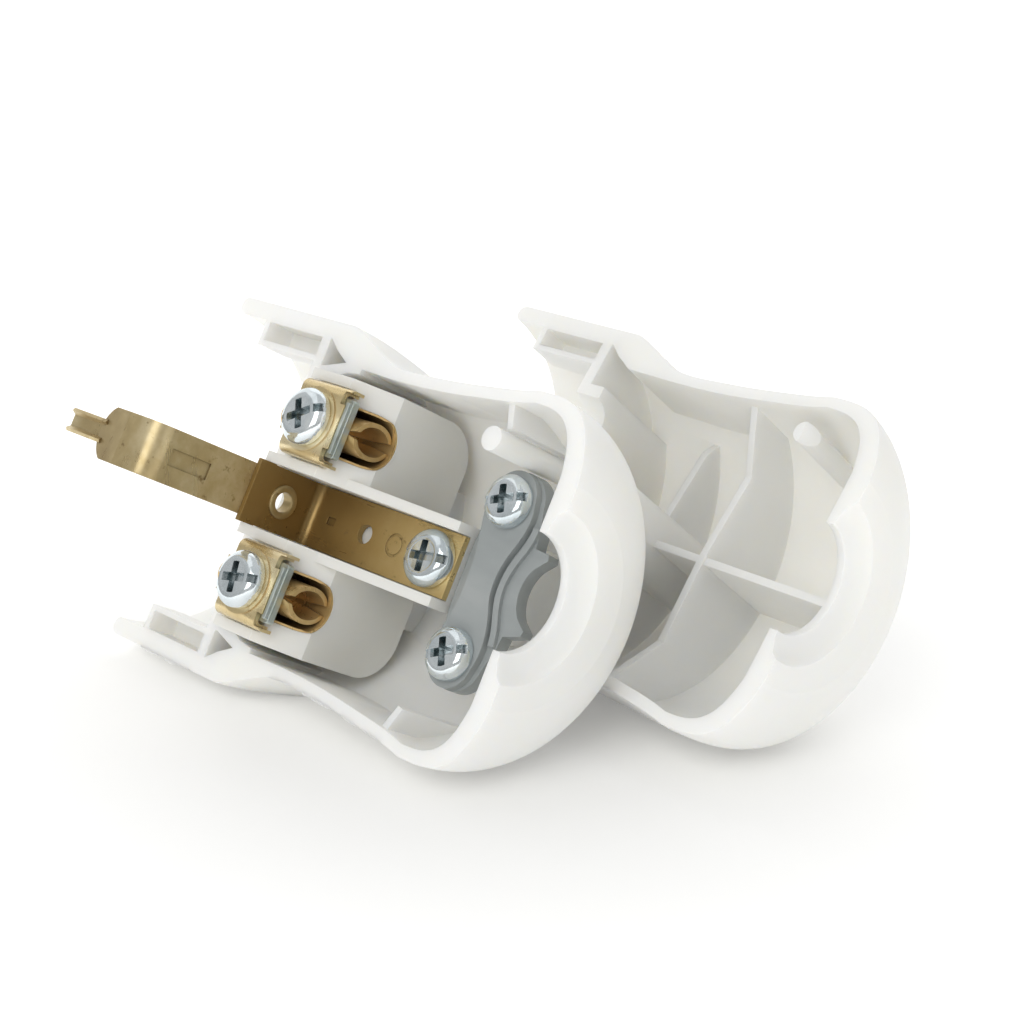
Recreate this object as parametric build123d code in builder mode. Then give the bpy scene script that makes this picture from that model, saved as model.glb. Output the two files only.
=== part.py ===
from build123d import *
from math import sqrt, sin, cos, radians
import os

os.makedirs("parts", exist_ok=True)

# ---------------------------------------------------------------- dimensions (mm)
# Each housing half is drawn in its own frame: x runs from the socket mouth to
# the cable end, y runs across, z runs out of the split plane (z = 0).

shell_r = 21.4            # outer radius of the housing
mouth_x = -30.2           # front lip
end_x = 29.6              # cable end face
lip_r = 1.02              # rounding of the front lip
recess_r = 19.35          # plug recess
floor_front = -14.4       # recess floor, front face
floor_back = -12.9        # recess floor, back face
chamber_r = 20.0          # wiring chamber
chamber_end = 27.1        # inner face of the end wall

# half widths of the plan outline, (x, y): finger scoops behind the mouth
scoop = [(-11.0, 21.5), (-8.8, 21.15), (-6.7, 20.3), (-4.4, 19.3), (-2.2, 18.45),
         (0.2, 18.1), (4.0, 18.2), (9.0, 18.5), (14.0, 19.0), (18.0, 19.5), (21.0, 20.1), (25.0, 21.2), (30.6, 23.0)]
# the tail of the barrel flattens to an ellipse and rounds over to the end face: (x, half width, depth)
tail = [(4.0, 21.4, 21.4), (8.0, 21.1, 21.4), (12.0, 20.55, 21.4), (16.0, 20.1, 21.4), (20.0, 19.95, 21.35),
        (23.0, 19.9, 21.1), (25.0, 19.55, 20.65), (26.6, 18.75, 19.8), (27.9, 17.25, 18.4), (28.8, 15.3, 16.7),
        (29.3, 13.6, 15.1), (29.6, 11.8, 13.4)]
# plan outline of the wiring chamber, and the chamber's own tail
chamber_plan = [(floor_back, 19.4), (-11.2, 18.2), (-8.7, 16.9), (-3.0, 16.8), (0.5, 16.75), (4.5, 16.85),
                (9.0, 17.15), (14.0, 17.65), (18.0, 18.15), (21.0, 18.8), (25.0, 20.0), (27.6, 21.0)]
chamber_tail = [(4.0, 20.0, 20.0), (8.0, 19.7, 20.0), (12.0, 19.2, 20.0), (16.0, 18.75, 20.0), (20.0, 18.6, 19.95),
                (22.5, 18.45, 19.65), (24.2, 17.9, 18.95), (25.5, 16.8, 17.8), (26.4, 15.1, 16.2), (26.9, 13.3, 14.5),
                (chamber_end, 11.8, 13.0)]

cable_hole_r = 6.3
dish_r = 9.2              # shallow dish round the cable hole
dish_depth = 1.5

pin_pitch = 19.0          # distance between the two contacts
pin_y = pin_pitch / 2
pin_hole_r = 2.9
centre_hole_r = 3.2

guide_front = -24.8       # hollow side guides of the plug recess
guide_in, guide_out = 16.3, 19.6
guide_deep = 4.6
guide_wall = 0.7

arm_slot_w = 7.0          # slots in the recess floor for the earth spring
arm_slot_lo, arm_slot_hi = 16.6, 18.9

# ribs of the cover
pillar_x, pillar_r, pillar_bore_r = -2.2, 4.4, 1.6
cross_x, rib_w = 8.95, 0.9

# socket insert
ins_half = 15.3
ins_x0, ins_x1 = -12.4, 0.5
ins_top, ins_bottom = 2.85, -14.5
ins_corner = 5.0
slot_w = 6.1
pocket_w, pocket_x0, pocket_x1, pocket_floor = 9.2, -10.4, -1.45, 2.2
channel_half, channel_wall = 3.7, 1.15
channel_end = 12.3
strip_floor = -6.85

# contacts
tube_w, tube_h, leaf = 4.2, 5.7, 0.5
liner_out, liner_in = 3.02, 2.78
tube_x0, tube_x1 = -12.8, -0.1

# terminals
cage_x0, cage_x1, cage_w = -10.2, -1.65, 8.8
cage_top, cage_t = 4.5, 0.65
nut_x0, nut_x1, nut_w, nut_z0, nut_z1 = -10.0, -1.1, 6.8, 2.85, 3.8
term_x = -6.0
screw_r, shank_r = 3.2, 1.55

# earth parts
strip_w, strip_t, strip_top = 7.2, 0.8, -6.0
plate_x = -11.6           # visible face of the upright plate
plate_top = 3.3
yoke_t, yoke_w = 0.62, 6.0
yoke_x = -12.22           # back of the plate, where the yoke lies
arm_z = 18.0
arm_end_x = -22.3
tongue_end_x = -27.8
eyelet_z = -1.1
earth_screw_x = 9.0

# cable clamp
clamp_top, clamp_t = -6.6, 2.6
clamp_screw_x, clamp_screw_y = 16.2, 8.6
clamp_screw_r = 2.9

# ---------------------------------------------------------------- how the halves lie
# Row frame: Z up from the table, X along the base half. Both barrels lie on
# the table, rolled until the split planes face forward.
base_roll = 62.8          # degrees between the base half's z axis and straight up
cover_roll = 52.8
cover_yaw = -1.9
cover_dx, cover_dy = 14.34, 27.76

origin_x, origin_y = -7.075, -16.185    # brings the row origin under the middle of the box


def half_plane(roll, yaw, ox, oy):
    a, w = radians(roll), radians(yaw)
    x_axis = Vector(cos(w), sin(w), 0)
    y_side = Vector(-sin(w), cos(w), 0)
    z_axis = y_side * (-sin(a)) + Vector(0, 0, cos(a))
    return Plane(origin=(ox, oy, shell_r), x_dir=x_axis, z_dir=z_axis)


base_plane = half_plane(base_roll, 0, origin_x, origin_y)
cover_plane = half_plane(cover_roll, cover_yaw, origin_x + cover_dx, origin_y + cover_dy)


def finish(part, label, plane):
    part.move(plane.location)
    part.label = label
    export_step(part, "parts/" + label + ".step")
    return part


# ---------------------------------------------------------------- housing, common shape

with BuildPart() as outer_form:                    # outer surface of one half, full depth
    with BuildSketch(Plane.XY):
        with BuildLine():
            Polyline((mouth_x, 0), (mouth_x, shell_r - lip_r))
            ThreePointArc((mouth_x, shell_r - lip_r),
                          (mouth_x + lip_r * (1 - sqrt(0.5)), shell_r - lip_r * (1 - sqrt(0.5))),
                          (mouth_x + lip_r, shell_r))
            Polyline((mouth_x + lip_r, shell_r), (tail[0][0], shell_r), (tail[0][0], 0), (mouth_x, 0))
        make_face()
    revolve(axis=Axis.X)
    for x, half, deep in tail:
        with BuildSketch(Plane.YZ.offset(x)):
            Ellipse(half, deep)
    loft()

with BuildPart() as outer_plan:
    with BuildSketch(Plane.XY):
        with BuildLine():
            up = Spline(*scoop)
            dn = Spline(*[(x, -y) for x, y in scoop])
            Line(up @ 1, dn @ 1)
            Polyline(up @ 0, (scoop[0][0], 23.0), (mouth_x - 1, 23.0), (mouth_x - 1, -23.0),
                     (scoop[0][0], -23.0), dn @ 0)
        make_face()
    extrude(amount=-25)

with BuildPart() as inner_limit:                   # ribs are trimmed to this, inside the skin
    with BuildSketch(Plane.XY):
        with BuildLine():
            Polyline((mouth_x + 1.2, 0), (mouth_x + 1.2, shell_r - 0.7), (tail[0][0], shell_r - 0.7),
                     (tail[0][0], 0), (mouth_x + 1.2, 0))
        make_face()
    revolve(axis=Axis.X)
    for x, half, deep in chamber_tail:
        with BuildSketch(Plane.YZ.offset(x if x < 20 else x + 0.6)):
            Ellipse(half + 0.7, deep + 0.7)
    loft()
    with BuildSketch(Plane.XY):
        with BuildLine():
            upl = Spline(*[(x - 0.3, y - 0.6) for x, y in scoop])
            dnl = Spline(*[(x - 0.3, 0.6 - y) for x, y in scoop])
            Polyline(upl @ 1, dnl @ 1)
            Polyline(upl @ 0, (scoop[0][0] - 0.3, 23.0), (mouth_x - 1, 23.0), (mouth_x - 1, -23.0),
                     (scoop[0][0] - 0.3, -23.0), dnl @ 0)
        make_face()
    extrude(amount=-25, mode=Mode.INTERSECT)

with BuildPart() as recess_form:                   # plug recess, with its rounded mouth edge
    with BuildSketch(Plane.XY):
        with BuildLine():
            Polyline((mouth_x - 2, 0), (mouth_x - 2, recess_r + lip_r), (mouth_x, recess_r + lip_r))
            ThreePointArc((mouth_x, recess_r + lip_r),
                          (mouth_x + lip_r * (1 - sqrt(0.5)), recess_r + lip_r * (1 - sqrt(0.5))),
                          (mouth_x + lip_r, recess_r))
            Polyline((mouth_x + lip_r, recess_r), (floor_front, recess_r), (floor_front, 0), (mouth_x - 2, 0))
        make_face()
    revolve(axis=Axis.X)

with BuildPart() as chamber_form:                  # wiring chamber
    with BuildSketch(Plane.YZ.offset(floor_back)):
        Circle(chamber_r)
    extrude(amount=chamber_tail[0][0] - floor_back)
    for x, half, deep in chamber_tail:
        with BuildSketch(Plane.YZ.offset(x)):
            Ellipse(half, deep)
    loft()
    with BuildSketch(Plane.XY.offset(2)):
        with BuildLine():
            cu = Polyline(*chamber_plan[:4])
            cs = Spline(*chamber_plan[3:])
            cd = Spline(*[(x, -y) for x, y in chamber_plan[3:]])
            cf = Polyline(*[(x, -y) for x, y in chamber_plan[:4]])
            Line(cs @ 1, cd @ 1)
            Line(cu @ 0, cf @ 0)
        make_face()
    extrude(amount=-27, mode=Mode.INTERSECT)

with BuildPart() as hole_form:                     # cable hole and the dish round it
    with BuildSketch(Plane.XY):
        with BuildLine():
            Polyline((chamber_end - 3, 0), (chamber_end - 3, cable_hole_r), (end_x - dish_depth, cable_hole_r),
                     (end_x - dish_depth * 0.93, cable_hole_r + 0.9), (end_x - dish_depth * 0.5, dish_r - 0.55),
                     (end_x + 0.02, dish_r),
                     (end_x + 2, dish_r), (end_x + 2, 0), (chamber_end - 3, 0))
        make_face()
    revolve(axis=Axis.X)

with BuildPart() as half_shell:
    add(outer_form.part)
    add(outer_plan.part, mode=Mode.INTERSECT)
    add(recess_form.part, mode=Mode.SUBTRACT)
    add(chamber_form.part, mode=Mode.SUBTRACT)
    add(hole_form.part, mode=Mode.SUBTRACT)

with BuildPart() as guide_ribs:                    # hollow side guides, open at the split plane
    for side in (1, -1):
        with BuildSketch(Plane.XY):
            with Locations(((guide_front + floor_front) / 2 + 0.5, side * (guide_in + guide_out) / 2)):
                Rectangle(floor_front - guide_front + 1.0, guide_out - guide_in)
        extrude(amount=-guide_deep)
    add(inner_limit.part, mode=Mode.INTERSECT)
    for side in (1, -1):
        with BuildSketch(Plane.XY):
            with Locations(((guide_front + 0.8 + floor_front) / 2, side * (guide_in + guide_wall + 19.2) / 2)):
                Rectangle(floor_front - guide_front - 0.8, 19.2 - guide_in - guide_wall)
        extrude(amount=-(guide_deep - 0.7), mode=Mode.SUBTRACT)

with BuildPart() as guide_cuts:                    # the pockets reach into the skin a little
    for side in (1, -1):
        with BuildSketch(Plane.XY):
            with Locations(((guide_front + 0.8 + floor_front) / 2, side * (guide_in + guide_wall + 19.2) / 2)):
                Rectangle(floor_front - guide_front - 0.8, 19.2 - guide_in - guide_wall)
        extrude(amount=-(guide_deep - 0.7))

with BuildPart() as floor_cuts:                    # half pin holes, and the slot of the earth spring
    for side in (1, -1):
        with BuildSketch(Plane.YZ.offset(floor_front - 1)):
            with Locations((side * pin_y, 0)):
                Circle(pin_hole_r)
        extrude(amount=floor_back - floor_front + 2)
    with BuildSketch(Plane.YZ.offset(floor_front - 1)):
        Circle(centre_hole_r)
    extrude(amount=floor_back - floor_front + 2)
    with BuildSketch(Plane.YZ.offset(floor_front - 1)):
        with Locations((0, -(arm_slot_lo + arm_slot_hi) / 2)):
            Rectangle(arm_slot_w, arm_slot_hi - arm_slot_lo)
    extrude(amount=floor_back - floor_front + 2)

# ---------------------------------------------------------------- base half

with BuildPart() as base_ribs:
    for side in (1, -1):
        # side rails of the insert, behind the recess floor
        with BuildSketch(Plane.XY):
            with BuildLine():
                Polyline((floor_back - 0.5, side * 15.45), (floor_back - 0.5, side * 16.1), (-12.4, side * 16.1),
                         (-8.7, side * 17.2), (-6.2, side * 17.2), (-6.2, side * 16.3), (-8.4, side * 16.0),
                         (-9.6, side * 15.45), (floor_back - 0.5, side * 15.45))
            make_face()
        extrude(amount=-20.6)
        # screw posts of the cable clamp
        with BuildSketch(Plane.XY.offset(clamp_top - clamp_t - 0.02)):
            with Locations((clamp_screw_x, side * clamp_screw_y)):
                Circle(3.1)
        extrude(amount=-14)
        # small stiffening ribs in the corners by the end wall
        with BuildSketch(Plane.XY.offset(-0.9)):
            with BuildLine():
                Polyline((15.3, side * 19.2), (16.3, side * 19.2), (17.7, side * 15.5), (17.0, side * 15.3),
                         (15.3, side * 19.2))
            make_face()
        extrude(amount=-19)
    # locating peg
    with BuildSketch(Plane.XY.offset(-0.05)):
        with Locations((16.2, 13.8)):
            Circle(1.35)
    extrude(amount=-20)
    # cradle under the insert
    for x0 in (-10.6, -2.2):
        with BuildSketch(Plane.XY.offset(ins_bottom - 0.02)):
            with Locations((x0, 0)):
                Rectangle(1.0, 17.0)
        extrude(amount=-7)
    with BuildSketch(Plane.XY.offset(strip_floor - 1.32)):
        with Locations((5.4, 0)):
            Rectangle(1.0, 8.6)
    extrude(amount=-14)
    add(inner_limit.part, mode=Mode.INTERSECT)
    for side in (1, -1):
        with BuildSketch(Plane.XY):
            with Locations((clamp_screw_x, side * clamp_screw_y)):
                Circle(shank_r + 0.02)
        extrude(amount=-16.5, mode=Mode.SUBTRACT)

with BuildPart() as base_shell:
    add(half_shell.part)
    add(guide_ribs.part)
    add(guide_cuts.part, mode=Mode.SUBTRACT)
    add(base_ribs.part)
    add(floor_cuts.part, mode=Mode.SUBTRACT)

# ---------------------------------------------------------------- cover half

with BuildPart() as cover_ribs:
    # blocks that close the contact tunnels, behind the recess floor
    for side in (1, -1):
        with BuildSketch(Plane.XY):
            with Locations(((floor_back - 10.6) / 2 - 0.2, side * 9.3)):
                Rectangle(2.7, 9.2)
        extrude(amount=-20.6)
    # round pillar in the middle, hollow for the assembly screw
    with BuildSketch(Plane.XY.offset(-0.6)):
        with Locations((pillar_x, 0)):
            Circle(pillar_r)
    extrude(amount=-21)
    # cross rib with a hollowed top
    with BuildSketch(Plane.YZ.offset(cross_x)):
        with BuildLine():
            Polyline((-21, -0.6), (-18.0, -1.5), (-14.1, -4.3), (-10.6, -6.95), (0, -6.3), (10.6, -6.95), (14.1, -4.3),
                     (18.0, -1.5), (21, -0.6), (21, -21), (-21, -21), (-21, -0.6))
        make_face()
    extrude(amount=rib_w)
    # long rib
    with BuildSketch(Plane.XZ.offset(-0.15)):
        with BuildLine():
            Polyline((pillar_x, -6.6), (27.6, -6.6), (27.6, -21), (pillar_x, -21), (pillar_x, -6.6))
        make_face()
    extrude(amount=rib_w)
    # low ribs either side of the pillar
    for side in (1, -1):
        with BuildSketch(Plane.YZ.offset(pillar_x - rib_w / 2)):
            with BuildLine():
                Polyline((side * 3.0, -10.9), (side * 13.4, -11.8), (side * 15.8, -13.4), (side * 15.8, -21),
                         (side * 3.0, -21), (side * 3.0, -10.9))
            make_face()
        extrude(amount=rib_w)
    # peg with a slanting tip
    with BuildSketch(Plane.XY.offset(-0.3)):
        with Locations((18.6, 15.3)):
            Circle(1.25)
    extrude(amount=-20)
    with BuildSketch(Plane.XZ.offset(-13)):
        with BuildLine():
            Polyline((18.5, 0), (18.5, -0.35), (20.2, -2.6), (20.2, 0), (18.5, 0))
        make_face()
    extrude(amount=-5, mode=Mode.SUBTRACT)
    add(inner_limit.part, mode=Mode.INTERSECT)
    # the half tunnels run on through the blocks
    for side in (1, -1):
        with BuildSketch(Plane.YZ.offset(floor_front - 1)):
            with Locations((side * pin_y, 0)):
                Circle(pin_hole_r)
        extrude(amount=7, mode=Mode.SUBTRACT)
    with BuildSketch(Plane.XY.offset(0)):
        with Locations((pillar_x, 0)):
            Circle(pillar_bore_r)
    extrude(amount=-12, mode=Mode.SUBTRACT)

with BuildPart() as cover_shell:
    add(half_shell.part)
    add(guide_ribs.part)
    add(guide_cuts.part, mode=Mode.SUBTRACT)
    add(cover_ribs.part)
    add(floor_cuts.part, mode=Mode.SUBTRACT)

# ---------------------------------------------------------------- insert

with BuildPart() as socket_insert:
    with BuildSketch(Plane.YZ.offset(ins_x0)):
        with Locations((0, (ins_top + ins_bottom) / 2)):
            body = Rectangle(2 * ins_half, ins_top - ins_bottom)
        fillet(body.vertices().group_by(Axis.Y)[0], ins_corner)
    extrude(amount=ins_x1 - ins_x0)
    # sloping rear edge
    with BuildSketch(Plane.XZ.offset(-20)):
        with BuildLine():
            Polyline((-3.8, ins_top + 0.001), (ins_x1 + 0.001, -1.4), (3, -1.4), (3, 4), (-3.8, 4), (-3.8, ins_top + 0.001))
        make_face()
    extrude(amount=40, mode=Mode.SUBTRACT)
    # the channel runs on behind the block
    with BuildSketch(Plane.XZ.offset(-(channel_half + channel_wall))):
        with BuildLine():
            Polyline((ins_x0, ins_top - 0.3), (-3.0, 1.0), (channel_end, -4.5), (channel_end, strip_floor - 1.3),
                     (ins_x1 - 1, strip_floor - 1.3), (ins_x0, strip_floor - 1.3), (ins_x0, ins_top - 0.3))
        make_face()
    extrude(amount=2 * (channel_half + channel_wall))
    # earth channel
    with BuildSketch(Plane.XZ.offset(-channel_half)):
        with Locations(((ins_x0 + channel_end) / 2, strip_floor + 8)):
            Rectangle(channel_end - ins_x0 + 2, 16)
    extrude(amount=2 * channel_half, mode=Mode.SUBTRACT)
    # way down for the lower spring arm
    with BuildSketch(Plane.XY.offset(strip_floor + 0.5)):
        with Locations((ins_x0 + 0.35, 0)):
            Rectangle(2.1, 2 * channel_half)
    extrude(amount=-12, mode=Mode.SUBTRACT)
    # hole under the earth screw
    with BuildSketch(Plane.XY.offset(strip_floor + 1)):
        with Locations((earth_screw_x, 0)):
            Circle(2.0)
    extrude(amount=-4, mode=Mode.SUBTRACT)
    for side in (1, -1):
        # round-bottomed slots of the contacts
        with BuildSketch(Plane.YZ.offset(ins_x0 - 1)):
            with Locations((side * pin_y, 0)):
                Circle(slot_w / 2)
            with Locations((side * pin_y, 3)):
                Rectangle(slot_w, 6)
        extrude(amount=ins_x1 - ins_x0 + 2, mode=Mode.SUBTRACT)
        # pockets of the terminal cages
        with BuildSketch(Plane.XY.offset(pocket_floor)):
            with Locations(((pocket_x0 + pocket_x1) / 2, side * pin_y)):
                Rectangle(pocket_x1 - pocket_x0, pocket_w)
        extrude(amount=3, mode=Mode.SUBTRACT)
        # low ledge in front of the pockets
        with BuildSketch(Plane.XY.offset(-0.1)):
            with Locations(((ins_x0 + pocket_x0) / 2 - 0.5, side * (channel_half + channel_wall + 6.3))):
                Rectangle(pocket_x0 - ins_x0 + 1.0, 12.6)
        extrude(amount=4, mode=Mode.SUBTRACT)

# ---------------------------------------------------------------- contacts and terminals

pieces = []
for name, side in (("line", 1), ("neutral", -1)):
    y0 = side * pin_y

    with BuildPart() as contact:
        with BuildSketch(Plane.YZ.offset(tube_x0)):
            with Locations((y0, 0)):
                Ellipse(tube_w / 2, tube_h / 2)
                Ellipse(tube_w / 2 - leaf, tube_h / 2 - leaf, mode=Mode.SUBTRACT)
        extrude(amount=tube_x1 - tube_x0)
        # slits: the leaves nearly touch, and open out at the back
        for way in (1, -1):
            with BuildSketch(Plane.XY.offset(way * 1.2)):
                with BuildLine():
                    if way == 1:
                        Polyline((1, y0 - 0.6), (1, y0 + 0.6), (-0.1, y0 + 0.45), (-1.6, y0 + 0.12), (-12.0, y0 + 0.1),
                                 (-12.0, y0 - 0.1), (-1.6, y0 - 0.12), (-0.1, y0 - 0.45), (1, y0 - 0.6))
                    else:
                        Polyline((1, y0 - 0.7), (1, y0 + 0.7), (-2.5, y0 + 0.3), (-10.5, y0 + 0.2), (-10.5, y0 - 0.2),
                                 (-2.5, y0 - 0.3), (1, y0 - 0.7))
                make_face()
            extrude(amount=way * 3, mode=Mode.SUBTRACT)
        # thin trough that lines the slot
        with BuildSketch(Plane.YZ.offset(-11.9)):
            with Locations((y0, 0)):
                Circle(liner_out)
            with Locations((y0, 1.05)):
                Rectangle(2 * liner_out, 2.1)
            with Locations((y0, 0)):
                Circle(liner_in, mode=Mode.SUBTRACT)
            with Locations((y0, 2.0)):
                Rectangle(2 * liner_in, 4.0, mode=Mode.SUBTRACT)
            with Locations((y0, 3.1)):
                Rectangle(8.0, 2.0, mode=Mode.SUBTRACT)
        extrude(amount=ins_x1 - 0.06 + 11.9)
        with BuildSketch(Plane.XZ.offset(-(y0 - 3.05))):
            with BuildLine():
                Polyline((-3.8, ins_top - 0.08), (ins_x1 + 0.001, -1.48), (3, -1.48), (3, 2.25), (-3.2, 2.25), (-3.8, ins_top - 0.08))
            make_face()
        extrude(amount=-0.35, mode=Mode.SUBTRACT)
        with BuildSketch(Plane.XZ.offset(-(y0 + 3.05))):
            with BuildLine():
                Polyline((-3.8, ins_top - 0.08), (ins_x1 + 0.001, -1.48), (3, -1.48), (3, 2.25), (-3.2, 2.25), (-3.8, ins_top - 0.08))
            make_face()
        extrude(amount=0.35, mode=Mode.SUBTRACT)
        # flat tab that carries the nut plate
        with BuildSketch(Plane.XY.offset(2.3)):
            with Locations((-6.1, y0)):
                Rectangle(7.4, 5.6)
        extrude(amount=0.5)
        with BuildSketch(Plane.XY.offset(1.6)):
            with Locations((term_x, y0)):
                Circle(1.9)
        extrude(amount=2, mode=Mode.SUBTRACT)
    pieces.append(finish(contact.part, name + "_contact", base_plane))

    with BuildPart() as cage:
        with BuildSketch(Plane.YZ.offset(cage_x0)):
            with Locations((y0, cage_top - 1.15)):
                hood = Rectangle(cage_w, 2.3)
            fillet(hood.vertices().group_by(Axis.Y)[-1], 1.05)
        extrude(amount=cage_x1 - cage_x0)
        with BuildSketch(Plane.YZ.offset(cage_x0 - 1)):
            with Locations((y0, cage_top - cage_t - 2.0)):
                core = Rectangle(cage_w - 2 * cage_t, 4.0)
            fillet(core.vertices().group_by(Axis.Y)[-1], 0.45)
        extrude(amount=cage_x1 - cage_x0 + 2, mode=Mode.SUBTRACT)
        # notches either side of the tabs, front and back
        for xe, deep in ((cage_x0, 0.9), (cage_x1, 0.75)):
            for k in (1, -1):
                with BuildSketch(Plane.XY):
                    with Locations((xe, y0 + k * 3.3)):
                        Rectangle(2 * deep, 2.6 if xe == cage_x0 else 1.5)
                extrude(amount=6, mode=Mode.SUBTRACT)
        # raised ring round the screw
        with BuildSketch(Plane.XY.offset(cage_top - 0.05)):
            with Locations((term_x, y0)):
                Circle(3.7)
        extrude(amount=0.2)
        with BuildSketch(Plane.XY):
            with Locations((term_x, y0)):
                Circle(1.85)
        extrude(amount=6, mode=Mode.SUBTRACT)
    pieces.append(finish(cage.part, name + "_terminal_cage", base_plane))

    with BuildPart() as nut:
        with BuildSketch(Plane.XY.offset(nut_z0)):
            with Locations(((nut_x0 + nut_x1) / 2, y0)):
                plate = Rectangle(nut_x1 - nut_x0, nut_w)
            fillet(plate.vertices(), 0.35)
            with Locations((term_x, y0)):
                Circle(shank_r + 0.05, mode=Mode.SUBTRACT)
        extrude(amount=nut_z1 - nut_z0)
        # turned-up rear edge that keeps the wire in
        with BuildSketch(Plane.XY.offset(nut_z1 - 0.05)):
            with Locations((nut_x1 - 0.27, y0)):
                Rectangle(0.5, nut_w - 0.9)
        extrude(amount=0.6)
    pieces.append(finish(nut.part, name + "_clamp_nut", base_plane))

# screws: pan heads with a cross and a slot, in the half frame
screw_list = [("line_terminal_screw", term_x, pin_y, cage_top + 0.15, 1.75, screw_r, 2.9, 28),
              ("neutral_terminal_screw", term_x, -pin_y, cage_top + 0.15, 1.75, screw_r, 2.9, 12),
              ("earth_terminal_screw", earth_screw_x, 0, strip_top, 1.9, screw_r, 4.2, 8),
              ("cable_clamp_screw_upper", clamp_screw_x, clamp_screw_y, clamp_top, 1.75, clamp_screw_r, 9.0, 20),
              ("cable_clamp_screw_lower", clamp_screw_x, -clamp_screw_y, clamp_top, 1.75, clamp_screw_r, 9.0, 24)]
for name, sx, sy, seat, head_h, head_r, shank_len, turn in screw_list:
    with BuildPart() as screw:
        with BuildSketch(Plane.XZ.offset(-sy)):
            with BuildLine():
                Polyline((sx, seat - shank_len), (sx + shank_r - 0.35, seat - shank_len), (sx + shank_r, seat - shank_len + 0.5),
                         (sx + shank_r, seat), (sx + head_r - 0.1, seat), (sx + head_r, seat + 0.12),
                         (sx + head_r, seat + head_h * 0.55))
                ThreePointArc((sx + head_r, seat + head_h * 0.55),
                              (sx + head_r * 0.86, seat + head_h * 0.87),
                              (sx + head_r * 0.55, seat + head_h))
                Polyline((sx + head_r * 0.55, seat + head_h), (sx, seat + head_h), (sx, seat - shank_len))
            make_face()
        revolve(axis=Axis((sx, sy, 0), (0, 0, 1)))
        with BuildSketch(Plane.XY.offset(seat + head_h)):
            with Locations((sx, sy)):
                Rectangle(2 * head_r + 1, 0.95, rotation=turn)
        extrude(amount=-0.75, mode=Mode.SUBTRACT)
        with BuildSketch(Plane.XY.offset(seat + head_h)):
            with Locations((sx, sy)):
                Rectangle(0.95, 3.5, rotation=turn)
                Rectangle(3.5, 0.95, rotation=turn)
        extrude(amount=-1.15, mode=Mode.SUBTRACT)
    pieces.append(finish(screw.part, name, base_plane))

# ---------------------------------------------------------------- earth strip, spring and eyelet

with BuildPart() as earth_terminal_strip:
    with BuildSketch(Plane.XZ.offset(-strip_w / 2)):
        with BuildLine():
            Polyline((channel_end, strip_top), (plate_x + 1.0, strip_top))
            ThreePointArc((plate_x + 1.0, strip_top), (plate_x + 1.0 * (1 - sqrt(0.5)), strip_top + 1.0 * (1 - sqrt(0.5))),
                          (plate_x, strip_top + 1.0))
            Polyline((plate_x, strip_top + 1.0), (plate_x, plate_top), (plate_x - 0.6, plate_top),
                     (plate_x - 0.6, strip_top + 0.4))
            ThreePointArc((plate_x - 0.6, strip_top + 0.4), (plate_x - 0.6 + 1.2 * (1 - sqrt(0.5)), strip_top - strip_t + 1.2 * (1 - sqrt(0.5))),
                          (plate_x + 0.6, strip_top - strip_t))
            Polyline((plate_x + 0.6, strip_top - strip_t), (channel_end, strip_top - strip_t), (channel_end, strip_top))
        make_face()
    extrude(amount=strip_w)
    # the top of the plate is wider than the channel bottom
    with BuildSketch(Plane.YZ.offset(plate_x - 0.6)):
        with Locations((0, (plate_top - 0.6) / 2 + 1.4)):
            Rectangle(7.36, plate_top - 0.6 - 0.4)
    extrude(amount=0.6)
    # screw hole, hole for a wire, punched dimple, coined ring
    with BuildSketch(Plane.XY.offset(strip_top + 1)):
        with Locations((earth_screw_x, 0)):
            Circle(shank_r + 0.05)
        with Locations((-2.3, 0)):
            Circle(1.1)
    extrude(amount=-4, mode=Mode.SUBTRACT)
    with BuildSketch(Plane.XY.offset(strip_top)):
        with Locations((2.7, 0)):
            Circle(1.35)
            Circle(1.05, mode=Mode.SUBTRACT)
    extrude(amount=-0.12, mode=Mode.SUBTRACT)
    with BuildSketch(Plane.XY.offset(strip_top)):
        with Locations((-8.2, 0)):
            Rectangle(1.3, 0.9)
    extrude(amount=-0.25, mode=Mode.SUBTRACT)
    with BuildSketch(Plane.YZ.offset(plate_x + 1)):
        with Locations((0, eyelet_z)):
            Circle(1.5)
    extrude(amount=-3, mode=Mode.SUBTRACT)
pieces.append(finish(earth_terminal_strip.part, "earth_terminal_strip", base_plane))

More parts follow.
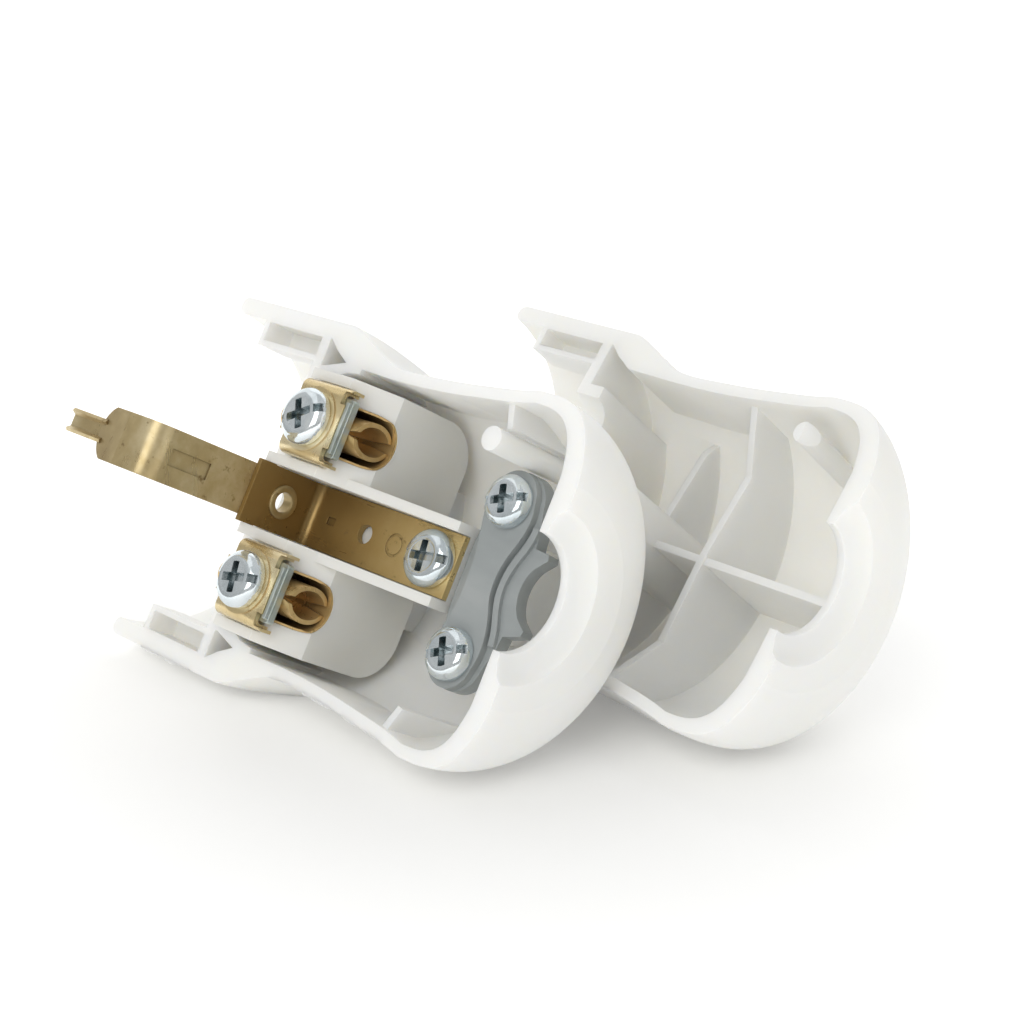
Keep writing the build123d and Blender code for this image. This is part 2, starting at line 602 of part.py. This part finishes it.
bend = 2.2                                          # outer bend of the spring arms
with BuildPart() as earth_spring_yoke:
    with BuildSketch(Plane.XZ.offset(-yoke_w / 2)):
        with BuildLine():
            # outer line, from the upper arm's end round to the lower arm's end
            xo, xi = yoke_x, yoke_x - yoke_t
            zo, zi = arm_z + yoke_t / 2, arm_z - yoke_t / 2
            Polyline((arm_end_x, zo - 0.5), (-17.5, zo + 0.1), (xo - bend, zo))
            ThreePointArc((xo - bend, zo), (xo - bend * (1 - sqrt(0.5)), zo - bend * (1 - sqrt(0.5))), (xo, zo - bend))
            Line((xo, zo - bend), (xo, bend - zo))
            ThreePointArc((xo, bend - zo), (xo - bend * (1 - sqrt(0.5)), bend * (1 - sqrt(0.5)) - zo), (xo - bend, -zo))
            Polyline((xo - bend, -zo), (-17.5, -zo - 0.1), (arm_end_x, 0.5 - zo), (arm_end_x, 0.5 - zi),
                     (-17.5, -zi - 0.1), (xo - bend, -zi))
            rb = bend - yoke_t
            ThreePointArc((xo - bend, -zi), (xi - rb * (1 - sqrt(0.5)), rb * (1 - sqrt(0.5)) - zi), (xi, rb - zi))
            Line((xi, rb - zi), (xi, zi - rb))
            ThreePointArc((xi, zi - rb), (xi - rb * (1 - sqrt(0.5)), zi - rb * (1 - sqrt(0.5))), (xo - bend, zi))
            Polyline((xo - bend, zi), (-17.5, zi + 0.1), (arm_end_x, zi - 0.5), (arm_end_x, zo - 0.5))
        make_face()
    extrude(amount=yoke_w)
    # rounded arm ends
    for k in (1, -1):
        with BuildSketch(Plane.XY.offset(k * 14)):
            with Locations((arm_end_x + 0.9, 0)):
                Rectangle(3.0, yoke_w + 1)
            with Locations((arm_end_x + 3.3, 0)):
                Circle(3.35, mode=Mode.SUBTRACT)
        extrude(amount=k * 8, mode=Mode.SUBTRACT)
        # narrow gutter-shaped tongue beyond the arm
        with BuildSketch(Plane.YZ.offset(arm_end_x + 1.0)):
            with BuildLine():
                zt = k * (zi - 0.35)
                Polyline((-1.35, zt + k * 0.75), (-0.95, zt), (0.95, zt), (1.35, zt + k * 0.75), (1.0, zt + k * 0.95),
                         (0.65, zt + k * 0.42), (-0.65, zt + k * 0.42), (-1.0, zt + k * 0.95), (-1.35, zt + k * 0.75))
            make_face()
        extrude(amount=tongue_end_x - arm_end_x - 1.0)
    # stamped panel before the upper bend, and the rivet hole
    with BuildSketch(Plane.YZ.offset(yoke_x)):
        with Locations((0, 12.6)):
            Rectangle(1.9, 5.6)
        with Locations((0, -12.6)):
            Rectangle(1.9, 5.6)
    extrude(amount=-0.22, mode=Mode.SUBTRACT)
    with BuildSketch(Plane.YZ.offset(yoke_x + 1)):
        with Locations((0, eyelet_z)):
            Circle(1.5)
    extrude(amount=-3, mode=Mode.SUBTRACT)
pieces.append(finish(earth_spring_yoke.part, "earth_spring_yoke", base_plane))

with BuildPart() as earth_eyelet:
    with BuildSketch(Plane.XY.offset(eyelet_z)):
        with BuildLine():
            Polyline((yoke_x - yoke_t, 1.18), (plate_x + 0.3, 1.18), (plate_x + 0.38, 1.5), (plate_x + 0.3, 1.95),
                     (plate_x, 1.95), (plate_x, 1.5), (yoke_x - yoke_t, 1.5), (yoke_x - yoke_t, 1.18))
        make_face()
    revolve(axis=Axis((0, 0, eyelet_z), (1, 0, 0)))
pieces.append(finish(earth_eyelet.part, "earth_eyelet", base_plane))

# ---------------------------------------------------------------- cable clamp

with BuildPart() as cable_clamp_bar:
    with BuildSketch(Plane.XY.offset(clamp_top - clamp_t)):
        with BuildLine():
            # rounded ends over the screws, a bellied waist, two teeth towards the cable hole
            lo = ThreePointArc((12.9, -9.2), (16.0, -12.25), (19.9, -9.2))
            hi = ThreePointArc((12.9, 9.2), (16.2, 12.25), (19.9, 9.2))
            Polyline(lo @ 1, (20.8, -6.4), (21.0, -4.9), (23.3, -4.2), (23.4, -3.6), (22.0, -2.6))
            ThreePointArc((22.0, -2.6), (20.9, 0.2), (21.8, 2.9))
            Polyline((21.8, 2.9), (23.1, 4.1), (22.9, 4.7), (20.9, 4.9), (20.7, 6.4), hi @ 1)
            Spline(hi @ 0, (12.75, 6.2), (12.42, 4.0), (12.36, 0.0), (12.42, -4.0), (12.75, -6.2), lo @ 0)
        make_face()
    extrude(amount=clamp_t - 0.9)
    # raised middle, hollowed along the left lip and sloping away to the teeth
    with BuildSketch(Plane.XY.offset(clamp_top - 0.92)):
        with BuildLine():
            lo2 = ThreePointArc((12.95, -9.2), (16.0, -12.2), (19.3, -9.2))
            hi2 = ThreePointArc((12.95, 9.2), (16.2, 12.2), (19.3, 9.2))
            Spline(hi2 @ 1, (19.6, 7.2), (19.2, 5.2), (18.4, 3.1), (17.9, 0.8), (18.1, -1.6), (18.9, -3.6), (19.6, -6.4), lo2 @ 1)
            Spline(hi2 @ 0, (12.9, 6.9), (13.5, 4.4), (13.95, 1.6), (14.1, -1.0), (14.0, -3.4), (13.4, -6.0), lo2 @ 0)
        make_face()
    extrude(amount=0.92)
    # long bead along the sloping side
    with BuildSketch(Plane.XY.offset(clamp_top - 0.95)):
        with BuildLine():
            bead = Spline((20.35, 6.9), (20.0, 4.6), (19.2, 2.6), (18.75, 0.6), (18.9, -1.6), (19.7, -3.8), (20.3, -6.3))
        trace(bead, 0.8)
    extrude(amount=0.55)
    with BuildSketch(Plane.XY.offset(clamp_top - clamp_t - 0.1)):
        with Locations((clamp_screw_x, clamp_screw_y), (clamp_screw_x, -clamp_screw_y)):
            Circle(shank_r + 0.1)
    extrude(amount=clamp_t + 0.2, mode=Mode.SUBTRACT)
pieces.append(finish(cable_clamp_bar.part, "cable_clamp_bar", base_plane))

pieces.append(finish(socket_insert.part, "socket_insert", base_plane))
pieces.append(finish(base_shell.part, "base_shell", base_plane))
pieces.append(finish(cover_shell.part, "cover_shell", cover_plane))

whole = Compound(children=pieces).bounding_box()
print("box", whole.min, whole.max)
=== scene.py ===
import math
import random
import bpy
from mathutils import Matrix, Vector


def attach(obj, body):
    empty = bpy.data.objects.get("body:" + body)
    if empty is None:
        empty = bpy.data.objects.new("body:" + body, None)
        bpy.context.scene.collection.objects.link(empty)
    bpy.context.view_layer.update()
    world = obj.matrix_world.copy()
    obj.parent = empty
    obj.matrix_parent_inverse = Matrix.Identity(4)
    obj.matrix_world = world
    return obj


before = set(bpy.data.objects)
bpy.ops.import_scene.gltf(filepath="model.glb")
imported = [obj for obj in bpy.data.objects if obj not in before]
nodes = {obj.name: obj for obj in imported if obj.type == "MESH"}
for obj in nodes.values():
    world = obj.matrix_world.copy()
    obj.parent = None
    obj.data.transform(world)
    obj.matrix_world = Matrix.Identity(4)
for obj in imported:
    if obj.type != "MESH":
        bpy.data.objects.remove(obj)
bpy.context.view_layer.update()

scene = bpy.context.scene

# ------------------------------------------------------------ half frames (mm)
# b runs from the mouth to the cable end, t across, n out of the split plane.
SHELL_R = 21.4
BASE_O = Vector((-7.075, -16.185, SHELL_R))
COVER_O = Vector((-7.075 + 14.34, -16.185 + 27.76, SHELL_R))


def half_axes(roll, yaw):
    a, w = math.radians(roll), math.radians(yaw)
    bx = Vector((math.cos(w), math.sin(w), 0))
    side = Vector((-math.sin(w), math.cos(w), 0))
    nz = side * -math.sin(a) + Vector((0, 0, math.cos(a)))
    return bx, nz.cross(bx), nz


BASE = half_axes(62.8, 0.0)
COVER = half_axes(52.8, -1.9)


def base_pt(b, t, n):
    return (BASE_O + BASE[0] * b + BASE[1] * t + BASE[2] * n) * 0.001


def base_dir(b, t, n):
    return BASE[0] * b + BASE[1] * t + BASE[2] * n


def half_matrix(o, axes):
    m = Matrix((axes[0], axes[1], axes[2])).transposed().to_4x4()
    return Matrix.Translation(o * 0.001) @ m


# ------------------------------------------------------------ camera
cam_data = bpy.data.cameras.new("camera")
cam_data.sensor_fit = "HORIZONTAL"
cam_data.sensor_width = 36.0
cam_data.lens = 36.0 * 2000.0 / 1024.0
cam_data.clip_start = 0.01
cam_data.clip_end = 20.0
cam = bpy.data.objects.new("camera", cam_data)
scene.collection.objects.link(cam)
right = base_dir(0.6975, 0.3647, -0.6168).normalized()
fwd = base_dir(-0.6761, 0.0497, -0.7351).normalized()
upv = right.cross(fwd).normalized()
right = fwd.cross(upv).normalized()
rot = Matrix((right, upv, -fwd)).transposed().to_4x4()
cam.matrix_world = Matrix.Translation(base_pt(159.15, -2.79, 148.32)) @ rot
scene.camera = cam

# ------------------------------------------------------------ stage and light
scene.view_settings.view_transform = "Standard"
scene.view_settings.look = "None"
scene.view_settings.exposure = 0.0
scene.view_settings.gamma = 1.0


def new_material(name):
    m = bpy.data.materials.new(name)
    m.use_nodes = True
    m.node_tree.nodes.clear()
    return m, m.node_tree.nodes, m.node_tree.links


def add(nodes_, kind, at=(0, 0), **values):
    n = nodes_.new(kind)
    n.location = at
    for k, v in values.items():
        if k in n.inputs:
            n.inputs[k].default_value = v
        else:
            setattr(n, k, v)
    return n


def sweep_floor():
    # a floor that turns up into a backdrop behind the object, seen from the camera
    prof = [(-0.9, 0.0), (0.55, 0.0)]
    for i in range(1, 17):
        a = math.pi / 2 * i / 16
        prof.append((0.55 + 0.35 * math.sin(a), 0.35 * (1 - math.cos(a))))
    prof.append((0.90, 1.6))
    way = Vector((fwd.x, fwd.y, 0)).normalized()
    across = Vector((-way.y, way.x, 0))
    verts, faces = [], []
    for d, h in prof:
        for s in (-1.4, 1.4):
            p = way * d + across * s
            verts.append((p.x, p.y, h))
    for i in range(len(prof) - 1):
        faces.append((2 * i, 2 * i + 1, 2 * i + 3, 2 * i + 2))
    me = bpy.data.meshes.new("floor")
    me.from_pydata(verts, [], faces)
    me.polygons.foreach_set("use_smooth", [True] * len(me.polygons))
    o = bpy.data.objects.new("floor", me)
    scene.collection.objects.link(o)
    m, nn, ll = new_material("floor_paper")
    out = add(nn, "ShaderNodeOutputMaterial", (300, 0))
    b = add(nn, "ShaderNodeBsdfPrincipled", (0, 0), Roughness=0.75)
    b.inputs["Base Color"].default_value = (0.93, 0.93, 0.925, 1)
    b.inputs["Specular IOR Level"].default_value = 0.15
    b.inputs["Emission Color"].default_value = (1.0, 1.0, 1.0, 1)
    # the paper glows more further out, so that contact shadows stay close to the object
    geo = add(nn, "ShaderNodeNewGeometry", (-900, -200))
    dist = add(nn, "ShaderNodeVectorMath", (-700, -200))
    dist.operation = "LENGTH"
    ll.new(geo.outputs["Position"], dist.inputs[0])
    glow = add(nn, "ShaderNodeMapRange", (-500, -200))
    for k, v in (("From Min", 0.03), ("From Max", 0.11), ("To Min", 0.10), ("To Max", 0.42)):
        glow.inputs[k].default_value = v
    ll.new(dist.outputs["Value"], glow.inputs["Value"])
    ll.new(glow.outputs["Result"], b.inputs["Emission Strength"])
    ll.new(b.outputs[0], out.inputs[0])
    me.materials.append(m)
    return o


sweep_floor()

world = bpy.data.worlds.new("studio")
scene.world = world
world.use_nodes = True
wn, wl = world.node_tree.nodes, world.node_tree.links
wn.clear()
wo = add(wn, "ShaderNodeOutputWorld", (600, 0))
bg = add(wn, "ShaderNodeBackground", (400, 0), Strength=0.60)
wl.new(bg.outputs[0], wo.inputs[0])
# a bright studio with darker walls low down, so that metal has something to mirror
wt = add(wn, "ShaderNodeTexCoord", (-600, 0))
wx = add(wn, "ShaderNodeSeparateXYZ", (-400, 0))
wl.new(wt.outputs["Generated"], wx.inputs[0])
wr = add(wn, "ShaderNodeValToRGB", (0, 0))
wr.color_ramp.elements[0].position = 0.02
wr.color_ramp.elements[0].color = (0.60, 0.60, 0.59, 1)
wr.color_ramp.elements[1].position = 0.75
wr.color_ramp.elements[1].color = (1.0, 1.0, 1.0, 1)
wl.new(wx.outputs["Z"], wr.inputs["Fac"])
wl.new(wr.outputs[0], bg.inputs["Color"])


def area(name, loc, target, size, power, color=(1, 1, 1), size_y=None):
    d = bpy.data.lights.new(name, "AREA")
    d.energy = power
    d.color = color
    d.shape = "RECTANGLE"
    d.size = size
    d.size_y = size_y or size
    o = bpy.data.objects.new(name, d)
    scene.collection.objects.link(o)
    o.location = loc
    z = (Vector(loc) - Vector(target)).normalized()
    o.rotation_mode = "QUATERNION"
    o.rotation_quaternion = z.to_track_quat("Z", "Y")
    return o


centre = Vector((0.0, 0.0, 0.02))


def from_camera(r, u, f):
    """A point by the camera's own right, up and towards-the-camera directions, from the centre."""
    return centre + right * r + upv * u - fwd * f


area("key", from_camera(-0.45, 0.75, 0.15), centre, 0.6, 0.48, (1.0, 0.992, 0.975))
area("top", from_camera(0.1, 0.8, -0.45), centre, 0.8, 0.6, (1.0, 1.0, 1.0))
area("side", from_camera(0.70, -0.05, 0.45), centre, 0.7, 0.62, (1.0, 1.0, 0.985))
area("front", from_camera(-0.36, 0.26, 0.74), centre, 0.6, 2.5, (1.0, 0.995, 0.97))

# ------------------------------------------------------------ materials


def principled(nn, ll, at=(300, 0), **values):
    out = add(nn, "ShaderNodeOutputMaterial", (at[0] + 300, at[1]))
    b = add(nn, "ShaderNodeBsdfPrincipled", at)
    for k, v in values.items():
        b.inputs[k.replace("_", " ")].default_value = v
    ll.new(b.outputs[0], out.inputs[0])
    return b


def noise(nn, ll, scale, detail=4.0, rough=0.5, coords=None, at=(-600, 0), stretch=None):
    tc = add(nn, "ShaderNodeTexCoord", (at[0] - 400, at[1]))
    mp = add(nn, "ShaderNodeMapping", (at[0] - 200, at[1]))
    if stretch:
        mp.inputs["Rotation"].default_value = stretch[1]
        mp.inputs["Scale"].default_value = stretch[0]
    ll.new(tc.outputs["Object"], mp.inputs["Vector"])
    n = add(nn, "ShaderNodeTexNoise", at)
    n.inputs["Scale"].default_value = scale
    n.inputs["Detail"].default_value = detail
    n.inputs["Roughness"].default_value = rough
    ll.new(mp.outputs[0], n.inputs["Vector"])
    return n


def ramp(nn, ll, src, stops, at=(-300, 0)):
    r = add(nn, "ShaderNodeValToRGB", at)
    els = r.color_ramp.elements
    while len(els) < len(stops):
        els.new(0.5)
    for e, (p, c) in zip(els, stops):
        e.position = p
        e.color = tuple(c) + (1,) if len(c) == 3 else c
    ll.new(src, r.inputs["Fac"])
    return r


def grey(v):
    return (v, v, v)


def bump(nn, ll, height, target, strength, distance=0.0001, at=(0, -300), normal=None):
    b = add(nn, "ShaderNodeBump", at)
    b.inputs["Strength"].default_value = strength
    b.inputs["Distance"].default_value = distance
    ll.new(height, b.inputs["Height"])
    if normal is not None:
        ll.new(normal, b.inputs["Normal"])
    if target is not None:
        ll.new(b.outputs[0], target)
    return b


def mixed(nn, ll, factor, a, b, at=(-200, 500)):
    """Colour a where the factor is 0, b where it is 1; either may be a constant."""
    mix = add(nn, "ShaderNodeMix", at)
    mix.data_type = "RGBA"
    ll.new(factor, mix.inputs[0])
    for sock, v in ((mix.inputs[6], a), (mix.inputs[7], b)):
        if isinstance(v, tuple):
            sock.default_value = v + (1,)
        else:
            ll.new(v, sock)
    return mix.outputs[2]


def paint_recess_shade(nn, ll, colour, dark, distance, lo, hi, at=(-600, 800)):
    """Painted shade: darkens the colour where the surface is closed in by its own shape, found by ambient occlusion.
    """
    ao = add(nn, "ShaderNodeAmbientOcclusion", at)
    ao.samples = 4
    ao.only_local = True
    ao.inputs["Distance"].default_value = distance
    r = ramp(nn, ll, ao.outputs["AO"], [(lo, grey(0.0)), (hi, grey(1.0))], (at[0] + 200, at[1]))
    return mixed(nn, ll, r.outputs[0], dark, colour, (at[0] + 450, at[1]))


def white_plastic(name, tint=(0.93, 0.925, 0.895), dark=(0.91, 0.905, 0.868), sss=0.75):
    m, nn, ll = new_material(name)
    b = principled(nn, ll, IOR=1.47)
    b.inputs["Subsurface Weight"].default_value = sss
    b.inputs["Subsurface Radius"].default_value = (1.0, 0.9, 0.75)
    b.inputs["Subsurface Scale"].default_value = 0.003
    cloudy = noise(nn, ll, 60.0, 3.0, 0.5, at=(-700, 200))
    tone = ramp(nn, ll, cloudy.outputs["Fac"], [(0.3, dark), (0.6, tint), (0.8, tint)], (-400, 200))
    ll.new(tone.outputs[0], b.inputs["Base Color"])
    grain = noise(nn, ll, 1400.0, 3.0, 0.6, at=(-700, -100))
    rr = ramp(nn, ll, grain.outputs["Fac"], [(0.3, grey(0.38)), (0.75, grey(0.52))], (-400, -100))
    ll.new(rr.outputs[0], b.inputs["Roughness"])
    flow = noise(nn, ll, 170.0, 2.0, 0.5, at=(-700, -500))
    b1 = bump(nn, ll, flow.outputs["Fac"], None, 0.25, 0.00012, (-150, -500))
    bump(nn, ll, grain.outputs["Fac"], b.inputs["Normal"], 0.18, 0.00003, (50, -350), b1.outputs[0])
    return m


def grey_plastic(name):
    m, nn, ll = new_material(name)
    b = principled(nn, ll, IOR=1.48)
    streak = noise(nn, ll, 160.0, 4.0, 0.55, at=(-700, 200), stretch=((0.35, 1.0, 1.0), (0.0, 0.6, 0.0)))
    tone = ramp(nn, ll, streak.outputs["Fac"], [(0.3, (0.285, 0.308, 0.312)), (0.55, (0.330, 0.354, 0.357)), (0.75, (0.390, 0.410, 0.410))], (-400, 200))
    ll.new(tone.outputs[0], b.inputs["Base Color"])
    grain = noise(nn, ll, 1200.0, 3.0, 0.6, at=(-700, -100))
    rr = ramp(nn, ll, grain.outputs["Fac"], [(0.3, grey(0.42)), (0.75, grey(0.6))], (-400, -100))
    ll.new(rr.outputs[0], b.inputs["Roughness"])
    bump(nn, ll, grain.outputs["Fac"], b.inputs["Normal"], 0.25, 0.00004, (50, -350))
    return m


def metal(name, dark, mid, light, rough=(0.22, 0.4), scale=90.0, streak=None, bump_s=0.12, spots=None, shade_in_recesses=None,
          wave=2.0, metallic=1.0, tarnish=None):
    m, nn, ll = new_material(name)
    b = principled(nn, ll, Metallic=metallic)
    n1 = noise(nn, ll, scale, 5.0, 0.6, at=(-900, 250))
    tone = ramp(nn, ll, n1.outputs["Fac"], [(0.28, dark), (0.5, mid), (0.72, light)], (-600, 250))
    colour = tone.outputs[0]
    if tarnish:
        # brown oxide that is thickest at one end of the piece and clears along +X
        tc = add(nn, "ShaderNodeTexCoord", (-1500, 1200))
        xyz = add(nn, "ShaderNodeSeparateXYZ", (-1300, 1200))
        ll.new(tc.outputs["Object"], xyz.inputs[0])
        clear = add(nn, "ShaderNodeMapRange", (-1100, 1200))
        clear.inputs["From Min"].default_value = tarnish[1]
        clear.inputs["From Max"].default_value = tarnish[2]
        ll.new(xyz.outputs["X"], clear.inputs["Value"])
        colour = mixed(nn, ll, clear.outputs["Result"], tuple(tarnish[0]), colour, (-450, 1200))
    if spots:
        n3 = noise(nn, ll, spots[0], 3.0, 0.7, at=(-900, 600))
        mask = ramp(nn, ll, n3.outputs["Fac"], [(0.62, grey(0.0)), (0.74, grey(1.0))], (-600, 600))
        colour = mixed(nn, ll, mask.outputs[0], colour, tuple(spots[1]), (-300, 450))
    # painted shade in the piece's own recesses and slots
    if shade_in_recesses:
        colour = paint_recess_shade(nn, ll, colour, tuple(shade_in_recesses[0]), shade_in_recesses[1], shade_in_recesses[2], shade_in_recesses[3], (-700, 900))
    ll.new(colour, b.inputs["Base Color"])
    n2 = noise(nn, ll, scale * 4, 4.0, 0.6, at=(-900, -100), stretch=streak)
    rr = ramp(nn, ll, n2.outputs["Fac"], [(0.3, grey(rough[0])), (0.72, grey(rough[1]))], (-600, -100))
    ll.new(rr.outputs[0], b.inputs["Roughness"])
    n4 = noise(nn, ll, scale * 1.6, 2.0, 0.5, at=(-900, -450))
    b1 = bump(nn, ll, n4.outputs["Fac"], None, bump_s * wave, 0.00008, (-250, -450))
    bump(nn, ll, n2.outputs["Fac"], b.inputs["Normal"], bump_s, 0.00002, (0, -350), b1.outputs[0])
    return m


shell_white = white_plastic("moulded_white")
insert_white = white_plastic("moulded_white_insert", (0.79, 0.785, 0.75), (0.76, 0.755, 0.715), 0.5)
clamp_grey = grey_plastic("moulded_grey")
# the tuple after each metal's spots is painted shade for its recesses: shade colour, reach, ramp ends
brass = metal("rolled_brass", (0.58, 0.45, 0.22), (0.74, 0.60, 0.34), (0.88, 0.79, 0.55), (0.20, 0.36),
              120.0, ((1.0, 1.0, 0.12), (0, 0, 0)), 0.1, (900.0, (0.50, 0.38, 0.20)), ((0.28, 0.19, 0.09), 0.0012, 0.25, 0.85),
              3.0, 0.8)
yoke_brass = metal("worn_brass", (0.36, 0.265, 0.125), (0.48, 0.375, 0.19), (0.70, 0.60, 0.38), (0.24, 0.42),
                   130.0, ((1.0, 1.0, 0.12), (0, 0, 0)), 0.12, (800.0, (0.26, 0.18, 0.08)), ((0.14, 0.095, 0.04), 0.0012, 0.30, 0.85),
                   3.0, 0.65)
contact_brass = metal("contact_brass", (0.48, 0.32, 0.13), (0.66, 0.46, 0.20), (0.80, 0.60, 0.30), (0.24, 0.42),
                      120.0, ((1.0, 1.0, 0.12), (0, 0, 0)), 0.1, (900.0, (0.34, 0.23, 0.10)), ((0.22, 0.135, 0.055), 0.0015, 0.08, 0.80),
                      2.0, 0.6)
dark_brass = metal("dull_brass", (0.52, 0.375, 0.15), (0.66, 0.49, 0.215), (0.76, 0.60, 0.30), (0.24, 0.42),
                   110.0, ((0.15, 1.0, 1.0), (0, 0, 0)), 0.12, (700.0, (0.27, 0.19, 0.08)), ((0.14, 0.095, 0.04), 0.0012, 0.30, 0.85),
                   2.5, 0.65, ((0.32, 0.21, 0.075), -0.014, 0.002))
zinc = metal("bright_zinc", (0.60, 0.67, 0.70), (0.76, 0.82, 0.85), (0.88, 0.92, 0.93), (0.06, 0.20),
             230.0, None, 0.22, None, ((0.17, 0.225, 0.235), 0.0012, 0.25, 0.85), 4.5, 0.85)
nut_metal = metal("dull_zinc", (0.42, 0.47, 0.44), (0.52, 0.57, 0.54), (0.62, 0.66, 0.63), (0.28, 0.46),
                  160.0, None, 0.14, None, ((0.10, 0.12, 0.11), 0.0010, 0.35, 0.85))

LOOK = {
    "base_shell": (shell_white, 0.28), "cover_shell": (shell_white, 0.28), "socket_insert": (insert_white, 0.22),
    "line_contact": (contact_brass, 0.03), "neutral_contact": (contact_brass, 0.03),
    "line_terminal_cage": (brass, 0.12), "neutral_terminal_cage": (brass, 0.12),
    "line_clamp_nut": (nut_metal, 0.10), "neutral_clamp_nut": (nut_metal, 0.10),
    "line_terminal_screw": (zinc, 0.10), "neutral_terminal_screw": (zinc, 0.10), "earth_terminal_screw": (zinc, 0.10),
    "cable_clamp_screw_upper": (zinc, 0.10), "cable_clamp_screw_lower": (zinc, 0.10),
    "earth_terminal_strip": (dark_brass, 0.08), "earth_spring_yoke": (yoke_brass, 0.10), "earth_eyelet": (yoke_brass, 0.06),
    "cable_clamp_bar": (clamp_grey, 0.26),
}
for name, (mat, width) in LOOK.items():
    o = nodes[name]
    if o.material_slots:
        for s in o.material_slots:
            s.material = mat
    else:
        o.data.materials.append(mat)
    w = o.modifiers.new("weld", "WELD")
    w.merge_threshold = 2e-6
    d = o.modifiers.new("flat", "DECIMATE")
    d.decimate_type = "DISSOLVE"
    d.angle_limit = math.radians(0.6)
    v = o.modifiers.new("edge", "BEVEL")
    v.limit_method = "ANGLE"
    v.angle_limit = math.radians(32)
    v.width = width * 0.001
    v.segments = 3
    v.use_clamp_overlap = True
    v.harden_normals = False
    v.miter_outer = "MITER_ARC"

# ------------------------------------------------------------ moulding flash
# Ragged slivers left along the split line, where the photograph shows them.
OUTLINE = [(-30.0, 21.38), (-11.0, 21.4), (-8.8, 21.1), (-6.7, 20.25), (-4.4, 19.25), (-2.2, 18.42), (0.2, 18.08), (4.0, 18.18),
           (9.0, 18.48), (14.0, 18.98), (18.0, 19.48), (21.0, 19.9), (23.0, 19.88), (25.0, 19.5), (26.6, 18.7)]


def half_width(b):
    for (b0, w0), (b1, w1) in zip(OUTLINE, OUTLINE[1:]):
        if b0 <= b <= b1:
            return w0 + (w1 - w0) * (b - b0) / (b1 - b0)
    return OUTLINE[-1][1]


def flash(name, o, axes, side, b0, b1, out, seed):
    rng = random.Random(seed)
    count = int((b1 - b0) / 0.16)
    level, verts, faces = 0.4, [], []
    for i in range(count + 1):
        u = i / count
        b = b0 + (b1 - b0) * u
        level = min(1.0, max(0.05, level + rng.uniform(-0.28, 0.28)))
        ends = min(1.0, 5 * u, 5 * (1 - u))
        w = half_width(b)
        reach = out * (0.12 + 0.88 * level) * ends + 0.02
        thick = 0.24 + 0.12 * level
        for t, n in ((w - 0.25, -0.04), (w + reach * 0.7, -0.06), (w + reach, -0.06 - thick * 0.45), (w - 0.1, -0.06 - thick * 1.9)):
            verts.append(tuple((o + axes[0] * b + axes[1] * (side * t) + axes[2] * n) * 0.001))
    for i in range(count):
        for k in range(4):
            a, b_ = 4 * i + k, 4 * i + (k + 1) % 4
            quad = (a, b_, b_ + 4, a + 4)
            faces.append(quad if side > 0 else quad[::-1])
    caps = [(3, 2, 1, 0), tuple(4 * count + k for k in range(4))]
    faces += caps if side > 0 else [c[::-1] for c in caps]
    me = bpy.data.meshes.new(name)
    me.from_pydata(verts, [], faces)
    me.materials.append(shell_white)
    me.update()
    ob = bpy.data.objects.new(name, me)
    scene.collection.objects.link(ob)
    sub = ob.modifiers.new("soft", "SUBSURF")
    sub.levels = sub.render_levels = 1
    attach(ob, "root")
    return ob


flash("flash_base_lip", BASE_O, BASE, -1, -24.5, -14.0, 0.42, 5)
flash("flash_base_waist", BASE_O, BASE, -1, -2.0, 17.5, 0.34, 11)
flash("flash_cover_rim", COVER_O, COVER, -1, 1.0, 13.0, 0.45, 23)
